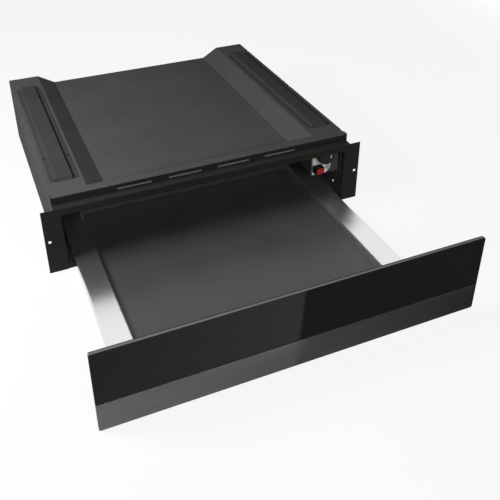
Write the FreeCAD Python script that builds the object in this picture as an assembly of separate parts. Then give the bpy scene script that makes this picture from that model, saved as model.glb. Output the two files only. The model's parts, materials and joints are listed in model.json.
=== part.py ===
import FreeCAD, Part
import math
import os

# Built-in warming drawer: a painted sheet-steel casing for a kitchen niche, with a shallow tray on
# flat-lying telescopic slides behind a glass front. Millimetres, +Z up, +Y to the back.
# The working frame below has y = 0 on the front face of the screw flanges and z = 0 on the niche
# floor. On export everything moves so that the origin is the middle of the casing's base.
# Tray pieces are drawn shut and exported pulled out by opening_travel.

V = FreeCAD.Vector

# ---------------------------------------------------------------- driving dimensions
# Sheet metal
sheet = 1.0                      # casing and tray sheet
bend = 0.8                       # inner radius of a fold
seat_gap = 0.2                   # between pieces that stand side by side

# Casing
casing_width = 552.0
casing_depth = 527.0             # flange plane to outside of rear wall
casing_height = 136.5            # niche floor to top cover
base_edge_height = 9.0           # upturned edges of the base
cover_flange = 15.0              # inward top flange of a side wall
rear_flange = 12.0               # inward rear flange of a side wall

# Top cover: pressed middle, open to the back
recess_depth = 20.5
recess_side_margin = 62.5        # flat rim at each side, at the cover's level
recess_slope_run = 34.5          # plan width of its sloping sides
recess_front_margin = 17.4       # flat rim between the cover's front edge and the recess
notch_length = 4.0
notch_depth = 2.5
notch_pitch = 221.0
notch_first = 16.5               # first notch behind the cover's front edge

# Front frame
flange_overhang = 22.0           # screw flange outside the casing's side
flange_inset = 10.0              # screw flange inside the casing's side
frame_step_drop = 14.0           # casing top to the top of the flanges
bar_lip = 13.5                   # lower part of the top bar
bar_setback = 14.8               # depth of the step in the top bar
frame_top_flange = 12.0
post_return = 5.0
wing_depth = 12.5                # frame's wings outside the side walls
wing_corner = 4.0
wing_rise = 0.8                  # above the cover
cabinet_hole = 5.5
cabinet_hole_margin = 8.0        # from the flange's edge
cabinet_hole_drop = 60.3         # below the flange's top
frame_slot_length = 60.0
frame_slot_width = 3.2
frame_slot_pitch = 91.0
frame_slot_count = 4
frame_slot_drop = 8.9            # casing top to the middle of the slots

# Support rails for the appliance above
rail_front_margin = 49.7         # behind the cover's front edge
rail_rear_margin = 60.0
rail_side_margin = 32.0          # casing side to the rail's centre
rail_width = 48.0
rail_top_width = 28.0
rail_slope_run = 2.5             # plan width of the hat section's slopes
rail_height = 6.0
rail_sheet = 1.2
rail_nose_run = 4.0
rail_rivet_margin = 3.0          # from the rail's side edge
rail_rivet_share = 0.6           # rivet spacing as a share of the rail's length
rivet_head = 5.6
rivet_head_height = 1.1

# Side wall holes near the front
side_hole = 5.0
side_hole_y = 50.5
side_hole_z = 13.8
pilot_hole = 2.0
pilot_hole_z = 25.3
pilot_hole_first_y = 24.0
pilot_hole_pitch = 9.1
pilot_hole_count = 4

# Heater space behind the air baffle
heater_space = 38.0              # baffle's front face to rear wall
baffle_side_gap = 2.0
baffle_foot = 12.0
vent_length = 28.0
vent_width = 4.0
vent_pitch = 9.0
outlet_rows = 6
outlet_columns = 2
outlet_x = 150.0
outlet_pitch_x = 44.0
rear_vent_x = 60.0
rear_vent_columns = 3
rear_vent_rows = 5
base_vent_count = 5
base_vent_margin = 57.0          # from the casing's back
base_vent_pitch = 60.0

# Fan
fan_size = 80.0
fan_thickness = 25.0
fan_bore = 76.0
fan_hub = 30.0
fan_hub_height = 6.0
fan_hub_sides = 16
fan_strut_width = 5.0
fan_strut_thickness = 3.0
fan_strut_overlap = 0.5          # into the wall of the frame's bore
fan_x = -120.0
rotor_tip_gap = 1.5
grille_rows = 7
rotor_hub = 34.0
rotor_depth = 16.0
rotor_gap = 0.8                  # rotor to hub plate, along the axle
blade_count = 5
blade_thickness = 1.6
blade_chord = 17.0
blade_pitch_angle = 38.0
fan_axle = 3.0
axle_clearance = 0.05

# Heating element
element_tube = 7.0
element_left = -55.0
element_right = 205.0
element_bend_radius = 15.0
element_bend_slack = 0.01        # between the hairpin's two bends
element_y_from_baffle = 20.0
holder_thickness = 1.5
holder_margin = 6.0
holder_clearance = 0.1
holder_first_x = -10.0
holder_pitch = 170.0
holder_count = 2
cutout_disc = 17.0
cutout_height = 8.0
cutout_x = 75.0
cutout_drop = 16.0               # below the pressed middle of the cover
cutout_tab_length = 8.0
cutout_tab_width = 4.0
cutout_tab_thickness = 0.8

# Mains side
gland_margin = 61.0              # casing side to the gland's axis
gland_z = 40.0
gland_thread = 12.0
gland_bore = 7.5
gland_flats = 17.0
gland_hex_height = 5.0
gland_dome = 7.0
gland_wall = 2.2
gland_inner_length = 9.0
gland_clearance = 0.15
terminal_length = 40.0
terminal_depth = 18.0
terminal_height = 17.0
terminal_poles = 3
terminal_bore = 5.0
rear_screw_head = 6.5
rear_screw_head_height = 2.2
rear_screw_count = 3

# Telescopic slides, lying flat under the tray's ledges
slide_width = 34.0
slide_height = 13.0
slide_sheet = 1.2
slide_race = 1.6                 # gap between neighbouring members, filled by the glide shoes
slide_floor_gap = 0.6
slide_wall_height = 9.0
slide_front_setback = 20.0
slide_rear_gap = 22.0
middle_shortening = 60.0
shoe_length = 36.0
shoe_clearance = 0.1
bed_rise = 3.0                   # raised bed of the base under a slide
bed_slope = 2.0

# Tray
opening_travel = 342.0
tray_side_gap = 12.5             # tray to edge of the casing's opening
ledge_width = 39.5
ledge_height = 18.0
skirt_bottom = 3.0
tray_flange = 11.0
tray_floor_underside = 5.0
floor_plate_thickness = 2.0
floor_plate_gap = 2.0
floor_plate_corner = 3.0
tray_rear_gap = 6.0
tray_back_height = 40.0

# Front
front_side_margin = 1.0          # front to the flange's edge
front_top_margin = 2.0           # above the casing's top
front_underside = 3.5
strip_height = 46.7
strip_joint = 0.5
glass_thickness = 4.0
backplate_thickness = 1.8
backplate_inset = 0.5
front_corner = 3.0
closing_gap = 3.0                # shut front to flange plane
carrier_depth = 12.0
carrier_height = 47.5
carrier_lip = 12.0
carrier_sheet = 1.2
carrier_side_gap = 3.5
front_screw_head = 7.0
front_screw_head_height = 2.4
front_screw_count = 4
front_screw_pitch = 130.0
front_screw_share = 0.6          # height on the carrier as a share of the carrier's

# Controls, on a plate behind the right of the opening
control_plate_y = 20.0
control_plate_width = 70.0       # from the casing's side
control_plate_height = 76.0
control_plate_gap = 0.4          # below the cover
control_plate_sheet = 1.2
control_plate_flange = 12.0
control_cheek_depth = 62.0
control_cheek_rise = 3.5         # cheek's lower edge above the plate's
control_slot_margin = 6.7        # slot to the casing's side
control_slot_width = 5.0
control_slot_drop = 18.5         # casing top to the slot's upper end
scale_thickness = 0.5
scale_margin = 2.8               # from the plate's left edge
scale_width = 38.7
scale_drop = 8.5                 # casing top to the scale's top
scale_height = 68.7
scale_cut_corner = 9.5
knob_margin = 25.4               # plate's left edge to the knob's axis
knob_drop = 34.2                 # casing top to the knob's axis
knob_base_radius = 17.2
knob_front_radius = 16.8
knob_front_y = 4.0
knob_plate_gap = 1.0
knob_edge = 1.2
knob_grip_count = 20
knob_grip_depth = 0.8
knob_hollow_radius = 12.0
knob_hollow_depth = 7.0
pointer_base = 8.6
pointer_length = 5.2
pointer_height = 0.5
pointer_tip_radius = 10.4
shaft_radius = 3.0
shaft_clearance = 0.05
shaft_front_gap = 3.0
bush_radius = 5.0
bush_clearance = 0.15
bush_length = 5.2
nut_flats = 14.0
nut_thickness = 2.6
thermostat_radius = 22.0
can_sides = 16                   # round cans are faceted
thermostat_depth = 24.0
thermostat_tab_count = 2
thermostat_tab_spacing = 18.0
thermostat_tab_length = 8.0
switch_margin = 12.1             # plate's left edge to the switch's middle
switch_drop = 62.9               # casing top to the switch's middle
switch_width = 18.2
switch_height = 13.2
switch_wall = 0.7
switch_protrusion = 14.0
switch_body_depth = 17.0
switch_body_inset = 1.3
rocker_clearance = 0.3
rocker_tilt = 7.0
rocker_depth = 5.2
rocker_back_share = 0.55         # width of its back as a share of its front
rocker_pin = 2.0
rocker_pin_hole = 2.3            # across the corners of its eight sides
pin_clearance = 0.05
switch_pocket = 7.0
capillary_tube = 2.0
capillary_bend = 8.0
capillary_offset = 8.6           # to the right of the knob's axis
capillary_drop = 11.5            # casing top to the tube under the cover's rim
capillary_rise = 12.0            # knob's axis to where the tube starts
capillary_start = 14.0
bulb_diameter = 6.0
bulb_length = 60.0
bulb_lead = 16.0
blade_tab_length = 7.0
blade_tab_width = 4.8
blade_tab_thickness = 0.8

# Push latch
latch_width = 18.0
latch_height = 16.0
latch_depth = 28.0
latch_z = 20.0
plunger_radius = 2.5
plunger_clearance = 0.2
plunger_length = 18.0
plunger_tip_gap = 0.3
latch_bore_depth = 22.0
striker_size = 14.0
striker_thickness = 2.5

# ---------------------------------------------------------------- places worked out from them
half_casing = casing_width / 2
half_frame = half_casing + flange_overhang
half_opening = half_casing - flange_inset
flange_height = casing_height - frame_step_drop
opening_height = flange_height - bar_lip
half_recess_top = half_casing - recess_side_margin
half_recess_floor = half_recess_top - recess_slope_run
cover_underside = casing_height - sheet
recess_floor = casing_height - recess_depth
fan_z = recess_floor / 2
element_z = recess_floor / 2
cutout_z = recess_floor - cutout_drop
gland_x = gland_margin - half_casing
rear_inside = casing_depth - sheet
baffle_front = casing_depth - sheet - heater_space
baffle_back = baffle_front + sheet
frame_riser_top = cover_underside
frame_slot_height = casing_height - frame_slot_drop
cabinet_hole_spacing = 2 * (half_frame - cabinet_hole_margin)
cabinet_hole_height = flange_height - cabinet_hole_drop
rail_front = bar_setback + rail_front_margin
rail_length = casing_depth - rail_front - rail_rear_margin
rail_centre = half_casing - rail_side_margin
half_tray = half_opening - tray_side_gap
ledge_inner = half_tray - ledge_width
slide_centre = half_tray - ledge_width / 2
bed_top = sheet + bed_rise
slide_top = bed_top + slide_height
tray_rear = baffle_front - tray_rear_gap
front_back = -closing_gap
tray_front = front_back + carrier_depth
floor_underside = tray_floor_underside
slide_front = slide_front_setback
slide_back = tray_rear - slide_rear_gap
slide_length = slide_back - slide_front
half_front = half_frame - front_side_margin
front_height = casing_height + front_top_margin - front_underside
control_plate_left = half_casing - control_plate_width
control_plate_right = half_casing - sheet - bend - seat_gap
control_plate_top = cover_underside - sheet - control_plate_gap
control_plate_bottom = cover_underside - sheet - control_plate_height
control_plate_back = control_plate_y + control_plate_sheet
scale_front = control_plate_y - scale_thickness
scale_left = control_plate_left + scale_margin
scale_right = scale_left + scale_width
scale_top = casing_height - scale_drop
scale_bottom = scale_top - scale_height
knob_x = control_plate_left + knob_margin
knob_z = casing_height - knob_drop
switch_x = control_plate_left + switch_margin
switch_z = casing_height - switch_drop
capillary_x = knob_x + capillary_offset
capillary_z = casing_height - capillary_drop
element_y = baffle_front + element_y_from_baffle
to_origin = V(0, -casing_depth / 2, 0)
pulled_out = V(0, -opening_travel, 0)
half_pulled_out = V(0, -opening_travel / 2, 0)
OVER = 5.0                       # how far a cutter reaches past what it cuts


# ---------------------------------------------------------------- shapes
def box(x0, x1, y0, y1, z0, z1):
    return Part.makeBox(x1 - x0, y1 - y0, z1 - z0, V(x0, y0, z0))


def cylinder(x, y, z, radius, length, axis):
    return Part.makeCylinder(radius, length, V(x, y, z), axis)


def fuse_all(shapes):
    result = shapes[0]
    if len(shapes) > 1:
        result = result.fuse(shapes[1:])
    return result.removeSplitter()


def cut_all(shape, cutters):
    return shape.cut(Part.makeCompound(cutters)).removeSplitter()


def mirror_x(shape):
    return shape.mirror(V(0, 0, 0), V(1, 0, 0))


def in_xz(y):
    return lambda u, v: V(u, y, v)


def in_yz(x):
    return lambda u, v: V(x, u, v)


def in_xy(z):
    return lambda u, v: V(u, v, z)


def rounded_outline(points, radii, place):
    """Closed wire through 2D points, each corner rounded by its radius where that isn't zero."""
    edges = []
    trimmed = []
    count = len(points)
    for i in range(count):
        corner = V(points[i][0], points[i][1], 0)
        before = V(points[i - 1][0], points[i - 1][1], 0)
        after = V(points[(i + 1) % count][0], points[(i + 1) % count][1], 0)
        if radii[i] == 0:
            trimmed.append((corner, None, corner))
            continue
        inward = (before - corner).normalize()
        outward = (after - corner).normalize()
        half_angle = inward.getAngle(outward) / 2
        reach = radii[i] / math.tan(half_angle)
        to_centre = (inward + outward).normalize()
        middle = corner + to_centre * (radii[i] / math.sin(half_angle) - radii[i])
        trimmed.append((corner + inward * reach, middle, corner + outward * reach))
    for i in range(count):
        start, middle, end = trimmed[i]
        following = trimmed[(i + 1) % count][0]
        if middle is not None:
            arc = Part.Arc(place(start.x, start.y), place(middle.x, middle.y), place(end.x, end.y))
            edges.append(arc.toShape())
        if end.distanceToPoint(following) > 1e-7:
            edges.append(Part.makeLine(place(end.x, end.y), place(following.x, following.y)))
    return Part.Wire(edges)


def parallel_path(path, distance):
    """Mitred copy of an open path, to the right of its direction where distance is positive."""
    normals = []
    for (u0, v0), (u1, v1) in zip(path, path[1:]):
        length = math.hypot(u1 - u0, v1 - v0)
        normals.append(((v1 - v0) / length, -(u1 - u0) / length))
    result = []
    for i, (u, v) in enumerate(path):
        first = normals[max(i - 1, 0)]
        second = normals[min(i, len(normals) - 1)]
        share = 1 + first[0] * second[0] + first[1] * second[1]
        step_u = (first[0] + second[0]) / share
        step_v = (first[1] + second[1]) / share
        result.append((u + step_u * distance, v + step_v * distance))
    return result


def folded_sheet(path, thickness, place, run, inner_radius=bend):
    """Sheet folded along an open path, extruded by run, with bends rounded unless radius is 0.

    The path is one face of the sheet. The other lies to its right, or to its left where the
    thickness is negative."""
    other = parallel_path(path, thickness)
    near_radii = [0] * len(path)
    far_radii = [0] * len(path)
    for i in range(1, len(path) - 1):
        du0, dv0 = path[i][0] - path[i - 1][0], path[i][1] - path[i - 1][1]
        du1, dv1 = path[i + 1][0] - path[i][0], path[i + 1][1] - path[i][1]
        if inner_radius == 0:
            continue
        outer_radius = inner_radius + abs(thickness)
        near_is_outer = (du0 * dv1 - dv0 * du1 > 0) != (thickness > 0)
        near_radii[i] = outer_radius if near_is_outer else inner_radius
        far_radii[i] = inner_radius if near_is_outer else outer_radius
    points = path + other[::-1]
    radii = near_radii + far_radii[::-1]
    return Part.Face(rounded_outline(points, radii, place)).extrude(run)


def plate_outline(points, radii, place, run):
    return Part.Face(rounded_outline(points, radii, place)).extrude(run)


def rectangle(u0, u1, v0, v1):
    return [(u0, v0), (u1, v0), (u1, v1), (u0, v1)]


def frustum(bottom, top, z0, z1):
    """Solid between a rectangle (x0, x1, y0, y1) at z0 and another at z1."""
    wires = []
    for (x0, x1, y0, y1), z in ((bottom, z0), (top, z1)):
        wires.append(Part.makePolygon([V(x0, y0, z), V(x1, y0, z), V(x1, y1, z), V(x0, y1, z),
                                       V(x0, y0, z)]))
    return Part.makeLoft(wires, True, True)


def slot_through_y(x, z, length, width, y0, y1):
    return box(x - length / 2, x + length / 2, y0, y1, z - width / 2, z + width / 2)


def slot_through_z(x, y, length, width, z0, z1):
    return box(x - length / 2, x + length / 2, y - width / 2, y + width / 2, z0, z1)


def hexagon(x, y, z, flats, height, direction):
    """Hexagonal prism along +Y or -Y from (x, y, z)."""
    radius = flats / math.sqrt(3)
    corners = [V(x + radius * math.cos(math.radians(60 * i)), y,
                 z + radius * math.sin(math.radians(60 * i))) for i in range(7)]
    return Part.Face(Part.makePolygon(corners)).extrude(V(0, height * direction, 0))


def ring(centre, radius, axis, sides=8):
    """Closed polygonal wire round centre, across its corners, perpendicular to axis."""
    side = axis.cross(V(0, 0, 1) if abs(axis.z) < 0.5 else V(1, 0, 0)).normalize()
    up = axis.cross(side)
    corners = []
    for i in range(sides + 1):
        angle = 2 * math.pi * (i + 0.5) / sides
        corners.append(centre + side * (radius * math.cos(angle)) + up * (radius * math.sin(angle)))
    return Part.makePolygon(corners)


def faceted_rod(start, radius, run, sides=8):
    """Polygonal prism from start along the vector run."""
    return Part.Face(ring(start, radius, V(run).normalize(), sides)).extrude(run)


def taper(start, radius, end_radius, run):
    """Octagonal frustum from start along the vector run."""
    axis = V(run).normalize()
    return Part.makeLoft([ring(start, radius, axis), ring(start + run, end_radius, axis)],
                         True, True)


def screw_head(x, y, z, radius, height, direction):
    """Low faceted head standing on (x, y, z), pointing along direction."""
    return taper(V(x, y, z), radius, radius * 0.7, direction * height)


def small_hole(x, y, z, radius, length, axis):
    return faceted_rod(V(x, y, z), radius, axis * length)


def tube_along(points, radius, bend_radius):
    """Rod along a path of straight runs with rounded corners."""
    edges = []
    start = points[0]
    for before, corner, after in zip(points, points[1:], points[2:]):
        inward = (before - corner).normalize()
        outward = (after - corner).normalize()
        half_angle = inward.getAngle(outward) / 2
        reach = bend_radius / math.tan(half_angle)
        middle = corner + (inward + outward).normalize() * (
            bend_radius / math.sin(half_angle) - bend_radius)
        entry = corner + inward * reach
        leave = corner + outward * reach
        if start.distanceToPoint(entry) > 1e-6:
            edges.append(Part.makeLine(start, entry))
        edges.append(Part.Arc(entry, middle, leave).toShape())
        start = leave
    edges.append(Part.makeLine(start, points[-1]))
    return sweep(Part.Wire(edges), points, radius)


def mitred_tube(points, radius):
    """Rod along a path of straight runs with mitred corners."""
    return sweep(Part.makePolygon(points), points, radius)


def sweep(path, points, radius):
    profile = ring(points[0], radius, (points[1] - points[0]).normalize())
    return path.makePipeShell([profile], True, True, 1)


def centred_places(count, pitch):
    return [(i - (count - 1) / 2) * pitch for i in range(count)]


# ---------------------------------------------------------------- casing
def make_base_pan():
    edge_x = half_casing - sheet
    path = [(-edge_x, base_edge_height), (-edge_x, 0), (edge_x, 0), (edge_x, base_edge_height)]
    length = rear_inside - sheet
    pan = folded_sheet(path, -sheet, in_xz(sheet), V(0, length, 0))
    pieces = [pan]
    hollows = []
    for side in (-1, 1):
        centre = side * slide_centre
        top = (centre - slide_width / 2, centre + slide_width / 2, slide_front, slide_back)
        foot = (top[0] - bed_slope, top[1] + bed_slope, top[2] - bed_slope, top[3] + bed_slope)
        pieces.append(frustum(foot, top, sheet, bed_top))
        hollows.append(frustum(foot, top, 0, bed_rise).cut(
            box(foot[0], foot[1], foot[2], foot[3], -OVER, 0)))
    pan = fuse_all(pieces).cut(Part.makeCompound(hollows)).removeSplitter()
    vents = [slot_through_z(x, casing_depth - base_vent_margin, vent_length, vent_width, -OVER, OVER)
             for x in centred_places(base_vent_count, base_vent_pitch)]
    return cut_all(pan, vents)


def make_side_wall():
    """Right side wall: top flange inwards under the cover, rear flange with an ear at its top
    that fills the end of the cover's raised rim."""
    path = [(half_casing, 0), (half_casing, cover_underside),
            (half_casing - cover_flange, cover_underside)]
    wall = folded_sheet(path, -sheet, in_xz(sheet), V(0, rear_inside - sheet, 0))
    rear = box(half_casing - sheet - rear_flange, half_casing - sheet, rear_inside - sheet,
               rear_inside, base_edge_height + sheet, cover_underside - sheet - seat_gap)
    slope = recess_slope_run / recess_depth
    ear_top = cover_underside - sheet - seat_gap
    ear = [(half_casing - sheet, recess_floor), (half_casing - sheet, ear_top),
           (half_recess_top - (cover_underside - ear_top) * slope + seat_gap, ear_top),
           (half_recess_top - (cover_underside - recess_floor) * slope + seat_gap, recess_floor)]
    wall = fuse_all([wall, rear, plate_outline(ear, [0] * 4, in_xz(rear_inside - sheet),
                                               V(0, sheet, 0))])
    step = box(half_casing - cover_flange - OVER, half_casing + OVER, 0, bar_setback + sheet,
               flange_height - sheet - bend, casing_height)
    cutters = [step, cylinder(half_casing - OVER, side_hole_y, side_hole_z, side_hole / 2,
                              2 * OVER, V(1, 0, 0))]
    for i in range(pilot_hole_count):
        cutters.append(small_hole(half_casing - OVER, pilot_hole_first_y + i * pilot_hole_pitch,
                                  pilot_hole_z, pilot_hole / 2, 2 * OVER, V(1, 0, 0)))
    return cut_all(wall, cutters)


def rear_screw_x():
    return half_casing - sheet - rear_flange / 2


def rear_screw_heights():
    low = base_edge_height + sheet + rear_screw_head
    high = recess_floor - sheet - rear_screw_head
    step = (high - low) / (rear_screw_count - 1)
    return [low + i * step for i in range(rear_screw_count)]


def make_rear_wall():
    wall = box(-half_casing, half_casing, rear_inside, casing_depth, 0, recess_floor - sheet)
    cutters = []
    for x in centred_places(rear_vent_columns, outlet_pitch_x):
        for z in centred_places(rear_vent_rows, vent_pitch):
            cutters.append(slot_through_y(rear_vent_x + x, fan_z + z, vent_length, vent_width,
                                          rear_inside - OVER, casing_depth + OVER))
    cutters.append(cylinder(gland_x, rear_inside - OVER, gland_z,
                            gland_thread / 2 + gland_clearance, 2 * OVER, V(0, 1, 0)))
    return cut_all(wall, cutters)


def make_rear_screws():
    return Part.makeCompound([
        screw_head(side * rear_screw_x(), casing_depth, z, rear_screw_head / 2,
                   rear_screw_head_height, V(0, 1, 0))
        for side in (-1, 1) for z in rear_screw_heights()])


def make_top_cover():
    front = bar_setback
    recess_front = front + recess_front_margin
    past_back = casing_depth + OVER
    floor_area = (-half_recess_floor, half_recess_floor, recess_front + recess_slope_run, past_back)
    rim_area = (-half_recess_top, half_recess_top, recess_front, past_back)
    recess = frustum(floor_area, rim_area, recess_floor, casing_height)
    plate = box(-half_casing, half_casing, front, casing_depth, cover_underside, casing_height)
    pressed = recess.translated(V(0, 0, -sheet)).common(
        box(-half_casing, half_casing, front, casing_depth, 0, cover_underside))
    lid = box(-half_recess_top - OVER, half_recess_top + OVER, front, past_back, casing_height,
              casing_height + OVER)
    cover = fuse_all([plate, pressed]).cut(recess).cut(lid).removeSplitter()
    cutters = []
    for side in (-1, 1):
        edge = side * half_casing
        inner = edge - side * notch_depth
        y = front + notch_first
        while y + notch_length < casing_depth:
            cutters.append(box(min(inner, edge + side), max(inner, edge + side), y,
                               y + notch_length, cover_underside - 1, casing_height + 1))
            y += notch_pitch
    return cut_all(cover, cutters)


def rail_rivet_places():
    """Rivet centres of the right support rail."""
    centre_y = rail_front + rail_length / 2
    return [(rail_centre + x, centre_y + y)
            for x in centred_places(2, rail_width - 2 * rail_rivet_margin)
            for y in centred_places(2, rail_length * rail_rivet_share)]


def make_support_rail():
    """Hat section on the right of the cover."""
    centre = rail_centre
    foot = casing_height + rail_sheet
    top = casing_height + rail_height
    path = [(centre - rail_width / 2, foot),
            (centre - rail_top_width / 2 - rail_slope_run, foot),
            (centre - rail_top_width / 2, top),
            (centre + rail_top_width / 2, top),
            (centre + rail_top_width / 2 + rail_slope_run, foot),
            (centre + rail_width / 2, foot)]
    start = rail_front
    rail = folded_sheet(path, rail_sheet, in_xz(start), V(0, rail_length, 0))
    nose_path = [(start + 2 * rail_sheet, top), (start, top),
                 (start - rail_nose_run, casing_height)]
    nose = folded_sheet(nose_path, -rail_sheet, in_yz(centre - rail_top_width / 2 + bend),
                        V(rail_top_width - 2 * bend, 0, 0))
    under = box(centre - rail_width, centre + rail_width, start - rail_width, start + rail_length,
                0, casing_height)
    return fuse_all([rail, nose]).cut(under)


def make_rail_rivets():
    seat = casing_height + rail_sheet
    return Part.makeCompound([
        screw_head(side * x, y, seat, rivet_head / 2, rivet_head_height, V(0, 0, 1))
        for side in (-1, 1) for x, y in rail_rivet_places()])


def make_front_frame():
    """Stepped top bar with vent slots, and the two screw flanges with their returns."""
    step_path = [(bar_setback, frame_riser_top), (bar_setback, flange_height), (0, flange_height),
                 (0, opening_height)]
    bar = folded_sheet(step_path, -sheet, in_yz(-half_casing - sheet),
                       V(casing_width + 2 * sheet, 0, 0))
    half_flange = half_casing - cover_flange - seat_gap
    top_flange = box(-half_flange, half_flange, bar_setback, bar_setback + sheet + frame_top_flange,
                     frame_riser_top - sheet, frame_riser_top)
    pieces = [bar, top_flange]
    for side in (-1, 1):
        outline = rectangle(half_opening, half_frame, 0, flange_height)
        flange = plate_outline(outline, [0] * 4, in_xz(0), V(0, sheet, 0))
        inner_return = box(half_opening, half_opening + sheet, 0, post_return, sheet,
                           flange_height - sheet)
        wing_outline = rectangle(bar_setback, bar_setback + wing_depth, 0,
                                 casing_height + wing_rise)
        wing = plate_outline(wing_outline, [0, 0, wing_corner, 0], in_yz(half_casing),
                             V(sheet, 0, 0))
        wing_foot = box(half_casing, half_casing + sheet, 0, bar_setback + sheet, 0,
                        flange_height)
        post = fuse_all([flange, inner_return, wing, wing_foot])
        pieces.append(post if side > 0 else mirror_x(post))
    frame = fuse_all(pieces)
    cutters = []
    for x in centred_places(frame_slot_count, frame_slot_pitch):
        cutters.append(slot_through_y(x, frame_slot_height, frame_slot_length, frame_slot_width,
                                      bar_setback - 1, bar_setback + sheet + 1))
    for x in centred_places(2, cabinet_hole_spacing):
        cutters.append(cylinder(x, -OVER, cabinet_hole_height, cabinet_hole / 2, 2 * OVER,
                                V(0, 1, 0)))
    return cut_all(frame, cutters)


# ---------------------------------------------------------------- heater space
def grille_cutters():
    """Slots in front of the fan, each as long as the fan's bore is wide at its height."""
    cutters = []
    for z in centred_places(grille_rows, vent_pitch):
        half = math.sqrt((fan_bore / 2) ** 2 - z ** 2) - vent_width / 2
        cutters.append(slot_through_y(fan_x, fan_z + z, 2 * half, vent_width, baffle_front - 1,
                                      baffle_back + 1))
    return cutters


def make_air_baffle():
    """Wall between tray and heater. The air returns over it, under the cover's raised rims."""
    half_width = half_casing - sheet - baffle_side_gap
    wall = box(-half_width, half_width, baffle_front, baffle_back, sheet, recess_floor - sheet)
    foot = box(-half_width, half_width, baffle_front, baffle_back + baffle_foot, sheet, 2 * sheet)
    baffle = fuse_all([wall, foot])
    cutters = grille_cutters()
    for x in centred_places(outlet_columns, outlet_pitch_x):
        for z in centred_places(outlet_rows, vent_pitch):
            cutters.append(slot_through_y(outlet_x + x, element_z + z, vent_length, vent_width,
                                          baffle_front - 1, baffle_back + 1))
    cutters.append(cylinder(0, baffle_front - OVER, latch_z, plunger_radius + plunger_clearance,
                            2 * OVER, V(0, 1, 0)))
    return cut_all(baffle, cutters)


def make_fan_frame():
    half = fan_size / 2
    rear = baffle_back + fan_thickness
    outline = rectangle(fan_x - half, fan_x + half, fan_z - half, fan_z + half)
    frame = plate_outline(outline, [0] * 4, in_xz(baffle_back), V(0, fan_thickness, 0))
    frame = frame.cut(cylinder(fan_x, baffle_back - 1, fan_z, fan_bore / 2, fan_thickness + 2,
                               V(0, 1, 0)))
    struts = []
    reach = fan_bore / 2 + fan_strut_overlap
    for angle in (45, 135, 225, 315):
        strut = box(0, reach, rear - fan_strut_thickness, rear, -fan_strut_width / 2,
                    fan_strut_width / 2)
        strut.rotate(V(0, 0, 0), V(0, 1, 0), angle)
        struts.append(strut.translated(V(fan_x, 0, fan_z)))
    hub = faceted_rod(V(fan_x, rear - fan_hub_height, fan_z), fan_hub / 2,
                      V(0, fan_hub_height, 0), fan_hub_sides)
    axle = cylinder(fan_x, rear - fan_hub_height - rotor_gap - rotor_depth, fan_z, fan_axle / 2,
                    rotor_gap + rotor_depth + 1, V(0, 1, 0))
    return fuse_all([frame, hub, axle] + struts)


def make_fan_rotor():
    back = baffle_back + fan_thickness - fan_hub_height - rotor_gap
    front = back - rotor_depth
    hub = faceted_rod(V(fan_x, front, fan_z), rotor_hub / 2, V(0, rotor_depth, 0), fan_hub_sides)
    tip = math.sqrt((fan_bore / 2 - rotor_tip_gap) ** 2 - (blade_chord / 2) ** 2)
    pieces = [hub]
    for i in range(blade_count):
        blade = box(0, tip, -blade_chord / 2, blade_chord / 2, -blade_thickness / 2,
                    blade_thickness / 2)
        blade.rotate(V(0, 0, 0), V(1, 0, 0), blade_pitch_angle)
        blade.rotate(V(0, 0, 0), V(0, 1, 0), i * 360 / blade_count)
        pieces.append(blade.translated(V(fan_x, (front + back) / 2, fan_z)))
    rotor = fuse_all(pieces)
    bore = cylinder(fan_x, front - 1, fan_z, fan_axle / 2 + axle_clearance, rotor_depth + 2,
                    V(0, 1, 0))
    return rotor.cut(bore)


def make_heating_element():
    """Tubular heater bent into a hairpin."""
    low = element_z - element_bend_radius
    high = element_z + element_bend_radius
    corners = [V(element_left, element_y, low), V(element_right, element_y, low),
               V(element_right, element_y, high), V(element_left, element_y, high)]
    return tube_along(corners, element_tube / 2, element_bend_radius - element_bend_slack)


def make_element_holders():
    holders = []
    low = element_z - element_bend_radius
    high = element_z + element_bend_radius
    hole = element_tube / 2 + holder_clearance
    for i in range(holder_count):
        x = holder_first_x + i * holder_pitch
        outline = rectangle(baffle_back, element_y + element_tube / 2 + holder_margin / 2,
                            low - element_tube / 2 - holder_margin,
                            high + element_tube / 2 + holder_margin)
        plate = plate_outline(outline, [0] * 4, in_yz(x), V(holder_thickness, 0, 0))
        holes = [small_hole(x - 1, element_y, z, hole, holder_thickness + 2, V(1, 0, 0))
                 for z in (low, high)]
        holders.append(cut_all(plate, holes))
    return Part.makeCompound(holders)


def make_thermal_cutout():
    disc = faceted_rod(V(cutout_x, baffle_back, cutout_z), cutout_disc / 2,
                       V(0, cutout_height, 0), can_sides)
    pieces = [disc]
    for side in (-1, 1):
        start = cutout_x + side * cutout_disc / 2
        end = start + side * cutout_tab_length
        pieces.append(box(min(start - side, end), max(start - side, end),
                          baffle_back + cutout_height - cutout_tab_thickness,
                          baffle_back + cutout_height, cutout_z - cutout_tab_width / 2,
                          cutout_z + cutout_tab_width / 2))
    return fuse_all(pieces)


def make_terminal_block():
    start_x = gland_x - terminal_length / 2
    floor = 2 * sheet
    start_y = baffle_back + (rear_inside - sheet - baffle_back - terminal_depth) / 2
    block = box(start_x, start_x + terminal_length, start_y, start_y + terminal_depth, floor,
                floor + terminal_height)
    cutters = []
    for x in centred_places(terminal_poles, terminal_length / terminal_poles):
        cutters.append(small_hole(gland_x + x, start_y + terminal_depth / 2,
                                  floor + terminal_height / 2, terminal_bore / 2,
                                  terminal_height, V(0, 0, 1)))
    return cut_all(block, cutters)


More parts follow.
